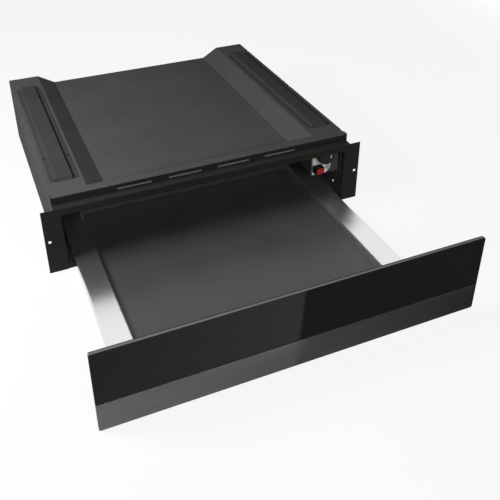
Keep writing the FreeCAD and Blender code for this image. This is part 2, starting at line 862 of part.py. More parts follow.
def make_cable_gland():
    hexagonal = hexagon(gland_x, casing_depth, gland_z, gland_flats, gland_hex_height, 1)
    dome = taper(V(gland_x, casing_depth + gland_hex_height, gland_z), gland_flats / 2,
                 gland_bore / 2 + gland_wall, V(0, gland_dome, 0))
    thread = cylinder(gland_x, casing_depth, gland_z, gland_thread / 2,
                      sheet + gland_inner_length, V(0, -1, 0))
    bore = cylinder(gland_x, casing_depth - sheet - gland_inner_length - 1, gland_z, gland_bore / 2,
                    gland_inner_length + gland_hex_height + gland_dome + sheet + 2, V(0, 1, 0))
    return fuse_all([hexagonal, dome, thread]).cut(bore)


# ---------------------------------------------------------------- push latch
def make_latch_housing():
    outline = rectangle(-latch_width / 2, latch_width / 2, latch_z - latch_height / 2,
                        latch_z + latch_height / 2)
    housing = plate_outline(outline, [0] * 4, in_xz(baffle_back), V(0, latch_depth, 0))
    bore = cylinder(0, baffle_back - 1, latch_z, plunger_radius + plunger_clearance,
                    latch_bore_depth + 1, V(0, 1, 0))
    return housing.cut(bore)


def make_latch_plunger():
    tip_y = tray_rear + striker_thickness + plunger_tip_gap
    return cylinder(0, tip_y, latch_z, plunger_radius, plunger_length, V(0, 1, 0))


def make_latch_striker():
    outline = rectangle(-striker_size / 2, striker_size / 2, latch_z - striker_size / 2,
                        latch_z + striker_size / 2)
    return plate_outline(outline, [0] * 4, in_xz(tray_rear), V(0, striker_thickness, 0))


# ---------------------------------------------------------------- telescopic slides (right one)
def slide_sizes():
    """Outer widths of the fixed, middle and tray members, and their floor heights."""
    fixed = slide_width
    middle = fixed - 2 * (slide_sheet + slide_race)
    tray = middle - 2 * (slide_sheet + slide_race)
    middle_floor = bed_top + slide_sheet + slide_floor_gap
    tray_bottom = middle_floor + slide_sheet + slide_floor_gap
    return fixed, middle, tray, middle_floor, tray_bottom


def slide_channel(width, floor, wall_top, start, length):
    """Channel with its open side up."""
    half = width / 2
    path = [(slide_centre - half, wall_top), (slide_centre - half, floor),
            (slide_centre + half, floor), (slide_centre + half, wall_top)]
    return folded_sheet(path, -slide_sheet, in_xz(start), V(0, length, 0), 0)


def make_slide_fixed():
    return slide_channel(slide_width, bed_top, bed_top + slide_wall_height, slide_front,
                         slide_length)


def make_slide_middle():
    middle, floor = slide_sizes()[1], slide_sizes()[3]
    start = slide_front + middle_shortening / 2
    return slide_channel(middle, floor, floor + slide_wall_height, start,
                         slide_length - middle_shortening)


def make_slide_tray_member():
    width, bottom = slide_sizes()[2], slide_sizes()[4]
    half = width / 2
    path = [(slide_centre - half, bottom), (slide_centre - half, slide_top),
            (slide_centre + half, slide_top), (slide_centre + half, bottom)]
    return folded_sheet(path, slide_sheet, in_xz(slide_front), V(0, slide_length, 0), 0)


def make_glide_shoes():
    """Shoes on the middle member: outside at its rear, inside at its front."""
    _, middle, _, floor, _ = slide_sizes()
    thickness = slide_race - shoe_clearance
    low = floor + slide_sheet + bend
    high = bed_top + slide_wall_height - bend
    front = slide_front + middle_shortening / 2
    back = slide_back - middle_shortening / 2
    shoes = []
    for side in (-1, 1):
        outer_face = slide_centre + side * middle / 2
        inner_face = slide_centre + side * (middle / 2 - slide_sheet)
        for face, direction, y0 in ((outer_face, side, back - shoe_length),
                                    (inner_face, -side, front)):
            edge = face + direction * thickness
            shoes.append(box(min(face, edge), max(face, edge), y0, y0 + shoe_length, low, high))
    return Part.makeCompound(shoes)


# ---------------------------------------------------------------- tray
def make_tray_side():
    """Right side: flange under the pan, short wall, wide ledge over the slide, outer skirt."""
    path = [(ledge_inner - tray_flange, floor_underside), (ledge_inner, floor_underside),
            (ledge_inner, ledge_height), (half_tray, ledge_height), (half_tray, skirt_bottom)]
    return folded_sheet(path, sheet, in_xz(tray_front), V(0, tray_rear - tray_front, 0))


def make_tray_pan():
    half = ledge_inner - bend - seat_gap
    return box(-half, half, tray_front, tray_rear - sheet - bend - seat_gap, floor_underside,
               floor_underside + sheet)


def make_floor_plate():
    half = ledge_inner - floor_plate_gap
    outline = rectangle(-half, half, tray_front + floor_plate_gap,
                        tray_rear - sheet - floor_plate_gap)
    plate = Part.Face(rounded_outline(outline, [floor_plate_corner] * 4, lambda u, v: V(u, v, 0)))
    return plate.extrude(V(0, 0, floor_plate_thickness)).translated(
        V(0, 0, floor_underside + sheet))


def make_tray_back():
    half = ledge_inner - seat_gap
    path = [(tray_rear - tray_flange, floor_underside - sheet), (tray_rear, floor_underside - sheet),
            (tray_rear, tray_back_height), (tray_rear - tray_flange / 2, tray_back_height)]
    inner = half - tray_flange
    wall = folded_sheet(path, -sheet, in_yz(-inner), V(2 * inner, 0, 0))
    ends = [box(min(side * inner, side * half), max(side * inner, side * half),
                tray_rear - sheet, tray_rear, floor_underside + bend, tray_back_height)
            for side in (-1, 1)]
    return fuse_all([wall] + ends)


# ---------------------------------------------------------------- front
def front_panel(y0, y1, z0, z1, half_width, radii):
    outline = rectangle(-half_width, half_width, z0, z1)
    return plate_outline(outline, radii, in_xz(y0), V(0, y1 - y0, 0))


def make_front_glass():
    rear = front_back - backplate_thickness
    bottom = front_underside + strip_height + strip_joint / 2
    return front_panel(rear - glass_thickness, rear, bottom, front_underside + front_height,
                       half_front, [0, 0, front_corner, front_corner])


def make_front_strip():
    rear = front_back - backplate_thickness
    top = front_underside + strip_height - strip_joint / 2
    return front_panel(rear - glass_thickness, rear, front_underside, top, half_front,
                       [front_corner, front_corner, 0, 0])


def make_front_backplate():
    corner = front_corner - backplate_inset
    return front_panel(front_back - backplate_thickness, front_back,
                       front_underside + backplate_inset,
                       front_underside + front_height - backplate_inset,
                       half_front - backplate_inset, [corner] * 4)


def make_front_carrier():
    """Lipped channel that ties the front to the tray."""
    top = skirt_bottom + carrier_height
    half = half_tray - carrier_side_gap
    path = [(front_back, skirt_bottom + carrier_lip), (front_back, skirt_bottom),
            (tray_front, skirt_bottom), (tray_front, top), (front_back, top),
            (front_back, top - carrier_lip)]
    return folded_sheet(path, -carrier_sheet, in_yz(-half), V(2 * half, 0, 0))


def make_front_screws():
    height = skirt_bottom + carrier_height * front_screw_share
    return Part.makeCompound([
        screw_head(x, tray_front, height, front_screw_head / 2, front_screw_head_height, V(0, 1, 0))
        for x in centred_places(front_screw_count, front_screw_pitch)])


# ---------------------------------------------------------------- controls
def make_control_plate():
    """Bracket folded round its left edge, with a top flange and an open slot at the right."""
    path = [(control_plate_left, control_plate_y + control_cheek_depth),
            (control_plate_left, control_plate_y), (control_plate_right, control_plate_y)]
    plate = folded_sheet(path, -control_plate_sheet, in_xy(control_plate_bottom),
                         V(0, 0, control_plate_top - control_plate_bottom))
    flange = box(control_plate_left + 2 * bend, control_plate_right - cover_flange,
                 control_plate_y + bend, control_plate_y + control_plate_flange,
                 control_plate_top - control_plate_sheet, control_plate_top)
    cheek = (control_plate_left - 1, control_plate_left + 2 * bend, control_plate_y + 2 * bend,
             casing_depth)
    under_recess = (cover_underside - control_plate_gap
                    - (half_recess_top - control_plate_left) * recess_depth / recess_slope_run)
    slot_right = half_casing - control_slot_margin
    cutters = control_cutouts(control_plate_y - OVER, control_plate_back + OVER)
    cutters.append(box(*cheek, 0, control_plate_bottom + control_cheek_rise))
    cutters.append(box(*cheek, under_recess, casing_height))
    cutters.append(box(slot_right - control_slot_width, slot_right, control_plate_y - 1,
                       control_plate_back + 1, 0, casing_height - control_slot_drop))
    return cut_all(fuse_all([plate, flange]), cutters)


def control_cutouts(y0, y1):
    half_width = switch_width / 2 - switch_body_inset
    half_height = switch_height / 2 - switch_body_inset
    return [cylinder(knob_x, y0, knob_z, bush_radius + bush_clearance, y1 - y0, V(0, 1, 0)),
            box(switch_x - half_width, switch_x + half_width, y0, y1, switch_z - half_height,
                switch_z + half_height)]


def make_scale_plate():
    outline = [(scale_left, scale_bottom), (scale_right - scale_cut_corner, scale_bottom),
               (scale_right, scale_bottom + scale_cut_corner), (scale_right, scale_top),
               (scale_left, scale_top)]
    plate = plate_outline(outline, [0] * len(outline), in_xz(scale_front),
                          V(0, scale_thickness, 0))
    return cut_all(plate, control_cutouts(scale_front - OVER, control_plate_y + OVER))


def make_thermostat_body():
    can = faceted_rod(V(knob_x, control_plate_back, knob_z), thermostat_radius,
                      V(0, thermostat_depth, 0), can_sides)
    rear_y = control_plate_back + thermostat_depth
    bush = cylinder(knob_x, scale_front - bush_length, knob_z, bush_radius,
                    bush_length + scale_thickness + control_plate_sheet + 1, V(0, 1, 0))
    bore = cylinder(knob_x, scale_front - bush_length - 1, knob_z, shaft_radius + shaft_clearance,
                    bush_length + control_plate_sheet + thermostat_depth / 2, V(0, 1, 0))
    tabs = [box(knob_x + x - blade_tab_width / 2, knob_x + x + blade_tab_width / 2, rear_y - 1,
                rear_y + thermostat_tab_length, knob_z - blade_tab_thickness / 2,
                knob_z + blade_tab_thickness / 2)
            for x in centred_places(thermostat_tab_count, thermostat_tab_spacing)]
    return fuse_all([can, bush] + tabs).cut(bore)


def make_capillary_probe():
    """Thin tube from the thermostat, under the cover's rim and over the baffle, to its bulb."""
    start_y = control_plate_back + thermostat_depth
    bulb_y = baffle_back + capillary_start
    tube_end = V(capillary_x, bulb_y, capillary_z - bulb_lead)
    corners = [V(capillary_x, start_y, knob_z + capillary_rise),
               V(capillary_x, start_y + capillary_start + capillary_bend, knob_z + capillary_rise),
               V(capillary_x, start_y + capillary_start + 2 * capillary_bend, capillary_z),
               V(capillary_x, bulb_y, capillary_z), tube_end]
    tube = mitred_tube(corners, capillary_tube / 2)
    bulb = faceted_rod(tube_end, bulb_diameter / 2, V(0, 0, -bulb_length))
    return tube.fuse(bulb)


def make_thermostat_nut():
    nut = hexagon(knob_x, scale_front, knob_z, nut_flats, nut_thickness, -1)
    return nut.cut(cylinder(knob_x, scale_front + 1, knob_z, bush_radius, nut_thickness + 2,
                            V(0, -1, 0)))


def make_thermostat_shaft():
    start = knob_front_y + shaft_front_gap
    end = scale_front - bush_length + thermostat_depth / 2
    return cylinder(knob_x, start, knob_z, shaft_radius, end - start, V(0, 1, 0))


def fluted_ring(y, radius):
    """Closed wire round the knob's axis, with a flute between each two ribs."""
    corners = []
    for i in range(2 * knob_grip_count + 1):
        angle = math.pi * i / knob_grip_count
        reach = radius * (1 - knob_grip_depth / knob_base_radius * (i % 2))
        corners.append(V(knob_x + reach * math.cos(angle), y, knob_z + reach * math.sin(angle)))
    return Part.makePolygon(corners)


def make_thermostat_knob():
    """Fluted cap with a chamfered face, hollow behind for the nut and bored for the shaft."""
    back = scale_front - knob_plate_gap
    rim = fluted_ring(knob_front_y + knob_edge, knob_front_radius)
    skirt = Part.makeLoft([rim, fluted_ring(back, knob_base_radius)], True, True)
    cap = Part.makeLoft([fluted_ring(knob_front_y, knob_front_radius - knob_edge), rim],
                        True, True)
    hollow = cylinder(knob_x, back - knob_hollow_depth, knob_z, knob_hollow_radius,
                      knob_hollow_depth + OVER, V(0, 1, 0))
    bore_start = knob_front_y + shaft_front_gap
    bore = cylinder(knob_x, bore_start, knob_z, shaft_radius, back - bore_start, V(0, 1, 0))
    return cut_all(fuse_all([skirt, cap]), [hollow, bore])


def make_knob_pointer():
    """Pale arrowhead on the knob's face, pointing outwards at its off position."""
    tip = knob_x + pointer_tip_radius
    outline = [(tip - pointer_length, knob_z - pointer_base / 2), (tip, knob_z),
               (tip - pointer_length, knob_z + pointer_base / 2)]
    return plate_outline(outline, [0] * 3, in_xz(knob_front_y), V(0, -pointer_height, 0))


def make_switch_housing():
    front = scale_front - switch_protrusion
    half_width = switch_width / 2
    half_height = switch_height / 2
    outline = rectangle(switch_x - half_width, switch_x + half_width, switch_z - half_height,
                        switch_z + half_height)
    shell = plate_outline(outline, [0] * 4, in_xz(front), V(0, switch_protrusion, 0))
    pocket = box(switch_x - half_width + switch_wall, switch_x + half_width - switch_wall,
                 front - 1, front + switch_pocket, switch_z - half_height + switch_wall,
                 switch_z + half_height - switch_wall)
    body = box(switch_x - half_width + switch_body_inset, switch_x + half_width - switch_body_inset,
               scale_front - 1, scale_front + scale_thickness + control_plate_sheet
               + switch_body_depth, switch_z - half_height + switch_body_inset,
               switch_z + half_height - switch_body_inset)
    rear = scale_front + scale_thickness + control_plate_sheet + switch_body_depth
    tabs = [box(switch_x + x - blade_tab_thickness / 2, switch_x + x + blade_tab_thickness / 2,
                rear - 1, rear + blade_tab_length, switch_z - blade_tab_width / 2,
                switch_z + blade_tab_width / 2)
            for x in centred_places(2, switch_width / 2)]
    pin_y = front + rocker_depth / 2
    pin_holes = small_hole(switch_x, pin_y, switch_z - half_height - 1, rocker_pin_hole / 2,
                           switch_height + 2, V(0, 0, 1))
    return fuse_all([shell.cut(pocket), body] + tabs).cut(pin_holes)


def make_rocker_pin():
    pin_y = scale_front - switch_protrusion + rocker_depth / 2
    return cylinder(switch_x, pin_y, switch_z - switch_height / 2, rocker_pin / 2, switch_height,
                    V(0, 0, 1))


def make_switch_rocker():
    """Rocker with a shallow V face, tilted about its upright pin."""
    front = scale_front - switch_protrusion
    pin_y = front + rocker_depth / 2
    reach = switch_width / 2 - switch_wall - rocker_clearance
    half_height = switch_height / 2 - switch_wall - rocker_clearance
    rise = reach * math.tan(math.radians(rocker_tilt))
    reach = reach - rise * math.sin(math.radians(rocker_tilt))
    depth = rocker_depth / 2
    points = [(-reach, -depth - rise), (0, -depth), (reach, -depth - rise),
              (reach * rocker_back_share, depth), (-reach * rocker_back_share, depth)]
    wire = Part.makePolygon([V(u, v, -half_height) for u, v in points + points[:1]])
    rocker = Part.Face(wire).extrude(V(0, 0, 2 * half_height))
    bore = cylinder(0, 0, -half_height - 1, rocker_pin / 2 + pin_clearance, 2 * half_height + 2,
                    V(0, 0, 1))
    rocker = rocker.cut(bore)
    rocker.rotate(V(0, 0, 0), V(0, 0, 1), rocker_tilt)
    return rocker.translated(V(switch_x, pin_y, switch_z))


# ---------------------------------------------------------------- export
def export(name, shape, shift=V(0, 0, 0)):
    shape.translated(to_origin + shift).exportStep("parts/" + name + ".step")


def export_pair(name, shape, shift=V(0, 0, 0)):
    export("right_" + name, shape, shift)
    export("left_" + name, mirror_x(shape), shift)


def main():
    os.makedirs("parts", exist_ok=True)
    export("base_pan", make_base_pan())
    export_pair("side_wall", make_side_wall())
    export("rear_wall", make_rear_wall())
    export("rear_wall_screws", make_rear_screws())
    export("top_cover", make_top_cover())
    export("front_frame", make_front_frame())
    export_pair("support_rail", make_support_rail())
    export("support_rail_rivets", make_rail_rivets())

    export("air_baffle", make_air_baffle())
    export("fan_frame", make_fan_frame())
    export("fan_rotor", make_fan_rotor())
    export("heating_element", make_heating_element())
    export("element_holders", make_element_holders())
    export("thermal_cutout", make_thermal_cutout())
    export("terminal_block", make_terminal_block())
    export("cable_gland", make_cable_gland())
    export("latch_housing", make_latch_housing())
    export("latch_plunger", make_latch_plunger())

    export_pair("slide_fixed_member", make_slide_fixed())
    export_pair("slide_middle_member", make_slide_middle(), half_pulled_out)
    export_pair("slide_glide_shoes", make_glide_shoes(), half_pulled_out)
    export_pair("slide_tray_member", make_slide_tray_member(), pulled_out)

    export_pair("tray_side", make_tray_side(), pulled_out)
    export("tray_pan", make_tray_pan(), pulled_out)
    export("tray_floor_plate", make_floor_plate(), pulled_out)
    export("tray_back", make_tray_back(), pulled_out)
    export("latch_striker", make_latch_striker(), pulled_out)
    export("front_carrier", make_front_carrier(), pulled_out)
    export("front_carrier_screws", make_front_screws(), pulled_out)
    export("front_backplate", make_front_backplate(), pulled_out)
    export("front_glass", make_front_glass(), pulled_out)
    export("front_strip", make_front_strip(), pulled_out)

    export("control_plate", make_control_plate())
    export("scale_plate", make_scale_plate())
    export("thermostat_body", make_thermostat_body())
    export("thermostat_nut", make_thermostat_nut())
    export("capillary_probe", make_capillary_probe())
    export("thermostat_shaft", make_thermostat_shaft())
    export("thermostat_knob", make_thermostat_knob())
    export("knob_pointer", make_knob_pointer())
    export("switch_housing", make_switch_housing())
    export("rocker_pin", make_rocker_pin())
    export("switch_rocker", make_switch_rocker())


main()
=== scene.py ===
import json
import math

import bmesh
import bpy
from mathutils import Matrix, Vector


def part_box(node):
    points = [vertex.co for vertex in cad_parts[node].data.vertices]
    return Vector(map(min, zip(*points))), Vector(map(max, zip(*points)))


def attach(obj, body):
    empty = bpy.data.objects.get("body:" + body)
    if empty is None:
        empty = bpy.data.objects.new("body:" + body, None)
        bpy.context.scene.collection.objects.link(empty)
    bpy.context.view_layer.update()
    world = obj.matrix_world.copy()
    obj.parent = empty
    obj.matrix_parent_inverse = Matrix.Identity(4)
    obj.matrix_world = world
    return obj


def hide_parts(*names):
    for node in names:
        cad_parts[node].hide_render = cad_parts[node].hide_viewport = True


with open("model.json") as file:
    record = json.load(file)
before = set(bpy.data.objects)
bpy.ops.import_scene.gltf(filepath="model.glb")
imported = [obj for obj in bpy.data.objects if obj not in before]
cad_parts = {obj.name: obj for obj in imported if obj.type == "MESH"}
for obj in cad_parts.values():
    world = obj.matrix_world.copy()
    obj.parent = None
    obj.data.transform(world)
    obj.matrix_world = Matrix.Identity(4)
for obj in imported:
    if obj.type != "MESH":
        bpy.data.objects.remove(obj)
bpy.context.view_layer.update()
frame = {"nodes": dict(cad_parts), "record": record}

MM = 0.001
SAME_PLACE = 1e-7                # metres within which two vertices are one
WHITE = (1, 1, 1, 1)

# Camera: place in metres; azimuth, elevation and roll in degrees; sensor and focal length in
# millimetres; lens shift in widths of the picture; nearest and furthest distance seen, in metres
CAMERA_PLACE = (-0.3691, -1.2540, 0.7696)
CAMERA_TURN = (-22.80, 29.77, 0.39)
SENSOR_WIDTH = 36
FOCAL_LENGTH = 51.08
LENS_SHIFT = (0.02436, -0.19346)
CLIP = (0.05, 50)

# Studio, in metres
FLOOR_SIZE = 12.0
FLOOR_DROP = 0.4 * MM            # keeps the floor's plane clear of the casing's underside
FLOOR_GLOW = 0.88                # share of glow, against lit paper, in what is seen of the floor
PAPER_WHITE = (0.62, 0.62, 0.615, 1)
AMBIENT = 0.05                   # strength of the world's light on matt surfaces

# Grey card in front of the drawer, in metres: where its far part begins, the slanting edge across
# it, how soft both borders are, and where it fades in and out along Y. Its tones run from the
# first to the second over CARD_LEFT_X or CARD_RIGHT_X, left and right of the slanting edge.
CARD_FRONT = 0.6589
CARD_SLANT = 0.644
CARD_EDGE = 0.0161
CARD_SOFTNESS = 0.004
CARD_FADE_IN = (-1.15, -0.95)
CARD_FADE_OUT = (-0.60, -0.50)
CARD_LEFT_X = (-0.36, 0.02)
CARD_RIGHT_X = (0.02, 0.40)
CARD_NEAR_TONES = (0.96, 0.45), (0.31, 0.00)
CARD_FAR_TONES = (0.44, 1.08), (0.18, 0.18)

# Finishes: radii in metres that edges seem rounded to; cosines between the rounded and the flat
# normal where the rubbing of an edge begins and is full; scale of brushed metal's noise along its
# grain, as a share of that across it
SOFT_EDGE = 0.0004
SHEET_EDGE = 0.0006
GLASS_EDGE = 0.0005
RUB_STARTS = 0.995
RUB_FULL = 0.80
GRAIN_STRETCH = 0.012

# Lips of the slots in the top bar, in millimetres
SLOT_COUNT = 4
SLOT_PITCH = 91.0
LIP_Z = (126.1, 129.1)           # lower and upper edge
LIP_HALF_LENGTH = 29.9
LIP_END = 1.5                    # length of the last face at each end
LIP_Y = -248.5                   # at the lower edge
LIP_BOW = ((0, 0), (0.2, 0.25), (0.5, 0.5), (0.8, 0.7), (1, 0.8))    # share of height, setback
LIP_THICKNESS = 0.6

# Sections of the fasteners' heads, as shares of the CAD head's radius and height
BLIND_RIVET = ((1, 0), (1, 0.18), (0.9, 0.52), (0.68, 0.84), (0.4, 1), (0.27, 1), (0.24, 0.55),
               (0, 0.5))
RIVET_SIDES = 28
PAN_HEAD = ((0.98, 0), (1, 0.2), (0.96, 0.5), (0.82, 0.8), (0.55, 0.97), (0, 1))
SCREW_SIDES = 36
RECESS_LENGTH = 1.15             # of the head's radius
RECESS_WIDTH = 0.24              # of the head's radius
RECESS_MIDDLE = 0.9              # of the head's height, where the bar that cuts it is centred
RECESS_TURN = 20                 # degrees

# Print on the scale plate, in millimetres, with angles in degrees clockwise from three o'clock
PLATE_Y = -244.0
PRINT_LIFT = 0.06                # the plate to a print's outer side
FILM = 0.05                      # thickness of a print
DIAL_X, DIAL_Z = 231.4, 102.3
DIAL_NUMBERS = {45: "30", 90: "40", 135: "50", 180: "60", 225: "70", 270: "80"}
NUMBER_RADIUS = 20.9
NUMBER_SIZE = 3.0
NUMBER_HALF_DEPTH = 0.02
TICK_INNER = 17.6
LONG_TICK = (0.7, 18.9)          # half of its angle, outer radius
SHORT_TICK = (0.4, 18.2)         # the same
SHORT_TICK_OFFSETS = (15, 30)    # from a number
TICK_STEPS = 2
LAMP_X, LAMP_Z = 241.4, 71.0
# Print round the lamp: the ring itself, with painted shade on the plate inside and outside it
LAMP_RINGS = (("lamp_inner_shade", "painted_shade_print", 0.3, 2.6), ("lamp_ring", "symbol_print", 2.6, 3.5),
              ("lamp_outer_shade", "painted_shade_print", 3.5, 5.4))     # name, finish, inner, outer radius

# Bar in the knob's face: share of the CAD pointer's width, and the eased rim's width and depth
BAR_SHARE = 0.62
RIM = 0.3 * MM
RIM_DEPTH = 0.6 * RIM


# ---------------------------------------------------------------- camera, at the photograph's view
def make_camera():
    """Camera that looks at the part as the photograph does."""
    azimuth, elevation, roll = (math.radians(angle) for angle in CAMERA_TURN)
    back = Vector((math.sin(azimuth) * math.cos(elevation),
                   -math.cos(azimuth) * math.cos(elevation), math.sin(elevation)))
    side = Vector((0, 0, 1)).cross(back).normalized()
    up = back.cross(side)
    axis_x = side * math.cos(roll) - up * math.sin(roll)
    axis_y = side * math.sin(roll) + up * math.cos(roll)
    data = bpy.data.cameras.new("camera")
    data.sensor_width = SENSOR_WIDTH
    data.lens = FOCAL_LENGTH
    data.shift_x, data.shift_y = LENS_SHIFT
    data.clip_start, data.clip_end = CLIP
    camera = bpy.data.objects.new("camera", data)
    bpy.context.scene.collection.objects.link(camera)
    camera.rotation_mode = "QUATERNION"
    camera.rotation_quaternion = Matrix((axis_x, axis_y, back)).transposed().to_quaternion()
    camera.location = CAMERA_PLACE
    bpy.context.scene.camera = camera


# ---------------------------------------------------------------- materials
class Nodes:
    """Shader nodes of one tree. Each input takes another node's output or a plain value."""

    def __init__(self, tree):
        self.nodes = tree.nodes
        self.links = tree.links

    def node(self, kind, inputs=None, **settings):
        """New node, its inputs given by name or number."""
        made = self.nodes.new("ShaderNode" + kind)
        for key, value in settings.items():
            setattr(made, key, value)
        for key, value in (inputs or {}).items():
            if isinstance(value, bpy.types.NodeSocket):
                self.links.new(value, made.inputs[key])
            else:
                made.inputs[key].default_value = value
        return made

    def calculate(self, operation, first, second):
        return self.node("Math", {0: first, 1: second}, operation=operation).outputs[0]

    def spread(self, value, new_start, new_end, start=0.3, end=0.7, smooth=False):
        """Map start..end, which is the useful part of a noise if not given, to the new ones."""
        mapped = self.node("MapRange", {"Value": value, "From Min": start, "From Max": end,
                                        "To Min": new_start, "To Max": new_end},
                           interpolation_type="SMOOTHSTEP" if smooth else "LINEAR")
        return mapped.outputs["Result"]

    def mix(self, factor, first, second):
        """Mix two colours."""
        return self.node("Mix", {0: factor, 6: first, 7: second}, data_type="RGBA").outputs[2]

    def blend(self, factor, first, second):
        """Mix two numbers."""
        return self.node("Mix", {"Factor": factor, "A": first, "B": second}).outputs["Result"]

    def seen_rays(self):
        """1 for camera, glossy and transmission rays, 0 for diffuse ones."""
        rays = self.node("LightPath").outputs
        total = rays["Is Camera Ray"]
        for name in ("Is Glossy Ray", "Is Transmission Ray"):
            total = self.calculate("MAXIMUM", total, rays[name])
        return total


class Shader(Nodes):
    """A material built from nodes round one Principled shader."""

    def __init__(self, name, **constants):
        self.material = bpy.data.materials.new(name)
        self.material.use_nodes = True
        super().__init__(self.material.node_tree)
        self.bsdf = self.nodes["Principled BSDF"]
        for socket, value in constants.items():
            self.bsdf.inputs[socket.replace("_", " ")].default_value = value

    def feed(self, socket, value):
        self.links.new(value, self.bsdf.inputs[socket])

    def noise(self, scale, stretch=(1, 1, 1), detail=3.0, roughness=0.55):
        """Noise of `scale` cells per metre along an unstretched axis."""
        place = self.node("TexCoord").outputs["Object"]
        mapped = self.node("Mapping", {"Vector": place, "Scale": stretch}).outputs["Vector"]
        texture = self.node("TexNoise", {"Vector": mapped, "Scale": scale, "Detail": detail,
                                         "Roughness": roughness})
        return texture.outputs["Fac"]

    def edges(self, radius):
        """Rounded-edge normal, and how far it departs from the flat one."""
        rounded = self.node("Bevel", {"Radius": radius}, samples=6).outputs["Normal"]
        flat = self.node("NewGeometry").outputs["Normal"]
        dot = self.node("VectorMath", {0: rounded, 1: flat}, operation="DOT_PRODUCT")
        return rounded, self.spread(dot.outputs["Value"], 0, 1, start=RUB_STARTS, end=RUB_FULL)

    def bump(self, height, strength, distance, normal=None):
        inputs = {"Height": height, "Strength": strength, "Distance": distance}
        if normal is not None:
            inputs["Normal"] = normal
        self.feed("Normal", self.node("Bump", inputs).outputs["Normal"])


def tint(colour, factor):
    """A colour times a factor, with alpha 1."""
    return tuple(c * factor for c in colour[:3]) + (1,)


def powder_coat(name, colour, roughness, specular, grain=1.0):
    """Satin powder coat on folded sheet: fine orange peel, cloudy tone, rubbed edges."""
    s = Shader(name, Specular_IOR_Level=specular)
    clouds = s.noise(9, detail=4)
    peel = s.noise(1500, detail=2)
    specks = s.noise(420, detail=1)
    base = s.mix(s.spread(clouds, 0, 1), tint(colour, 0.93), tint(colour, 1.07))
    base = s.mix(s.spread(specks, 0, 0.16, start=0.55, end=0.75), base, tint(colour, 1.9))
    rounded, wear = s.edges(SHEET_EDGE)
    s.feed("Base Color", s.mix(wear, base, tint(colour, 1.5)))
    s.feed("Roughness", s.spread(clouds, roughness - 0.04, roughness + 0.05))
    s.bump(peel, 0.25 * grain, 0.00008, rounded)
    return s.material


def brushed(name, colour, roughness, along, contrast=0.12, depth=0.00002, scale=1400,
            edge_radius=SOFT_EDGE, scatter=0.0, streaks=0.22, across=None, fan=0.0):
    """Brushed or rolled metal with its grain along one axis. Contrast and depth are those of its
    fine scratches. Scatter is the share of light that they spread evenly, streaks how far their
    gloss departs from the mean, and fan how much wider they spread a reflection in the direction
    across."""
    s = Shader(name, Metallic=1.0 - scatter, Anisotropic=fan)
    if across:
        s.feed("Tangent", s.node("CombineXYZ", {across: 1.0}).outputs["Vector"])
    stretch = tuple(GRAIN_STRETCH if axis == along else 1.0 for axis in "xyz")
    lines = s.noise(scale, stretch, detail=4)
    clouds = s.noise(14, detail=3)
    base = s.mix(s.spread(lines, 0, 1), tint(colour, 1 - contrast), tint(colour, 1 + contrast))
    base = s.mix(s.spread(clouds, 0, 0.5), base, tint(colour, 0.92))
    s.feed("Base Color", base)
    s.feed("Roughness", s.spread(lines, roughness * (1 - streaks), roughness * (1 + streaks)))
    rounded, _ = s.edges(edge_radius)
    s.bump(lines, 0.35, depth, rounded)
    return s.material


def zinc_plate(name, colour, roughness=0.34, spangle=260):
    """Zinc-coated steel: faint crystal flakes and a cloudy film."""
    s = Shader(name, Metallic=1.0)
    place = s.node("TexCoord").outputs["Object"]
    flakes = s.node("TexVoronoi", {"Vector": place, "Scale": spangle}).outputs["Color"]
    tone = s.node("SeparateColor", {"Color": flakes}).outputs["Red"]
    film = s.noise(60, detail=4)
    base = s.mix(tone, tint(colour, 0.84), tint(colour, 1.1))
    s.feed("Base Color", s.mix(s.spread(film, 0, 0.4), base, tint(colour, 0.8)))
    s.feed("Roughness", s.spread(film, roughness - 0.06, roughness + 0.08))
    rounded, _ = s.edges(SOFT_EDGE)
    s.bump(film, 0.2, 0.00004, rounded)
    return s.material


def moulded(name, colour, roughness=0.45, specular=0.45, sparkle=0.12):
    """Moulded plastic with a spark-eroded surface."""
    s = Shader(name, Specular_IOR_Level=specular)
    grain = s.noise(2600, detail=2)
    flow = s.noise(40, (1, 1, 0.3), detail=2)
    s.feed("Base Color", s.mix(s.spread(flow, 0, 1), tint(colour, 1 - sparkle),
                               tint(colour, 1 + sparkle)))
    s.feed("Roughness", s.spread(grain, roughness - 0.05, roughness + 0.08))
    rounded, _ = s.edges(SOFT_EDGE)
    s.bump(grain, 0.3, 0.00005, rounded)
    return s.material


def black_glass(name):
    """Back-painted float glass: deep black, polished, with a trace of wiping haze and matt
    ground edges."""
    s = Shader(name, Specular_IOR_Level=0.17)
    haze = s.noise(26, (1, 1, 2.2), detail=5)
    dust = s.noise(1100, detail=1)
    base = s.mix(s.spread(haze, 0, 1), (0.0050, 0.0050, 0.0045, 1), (0.0064, 0.0064, 0.0058, 1))
    base = s.mix(s.spread(dust, 0, 0.07, start=0.68, end=0.80), base, (0.2, 0.2, 0.19, 1))
    rounded, _ = s.edges(GLASS_EDGE)
    facing = s.node("SeparateXYZ", {"Vector": s.node("NewGeometry").outputs["Normal"]})
    forwards = s.node("Math", {0: facing.outputs["Y"]}, operation="ABSOLUTE").outputs[0]
    ground = s.spread(forwards, 1, 0, start=0.5, end=0.75)
    grit = s.noise(2400, detail=2)
    frosted = s.mix(s.spread(grit, 0, 1), (0.090, 0.089, 0.086, 1), (0.125, 0.124, 0.120, 1))
    s.feed("Base Color", s.mix(ground, base, frosted))
    polish = s.spread(haze, 0.035, 0.075)
    grind = s.spread(ground, 0, 0.5, start=0, end=1)
    s.feed("Roughness", s.calculate("ADD", polish, grind))
    s.feed("Normal", rounded)
    return s.material


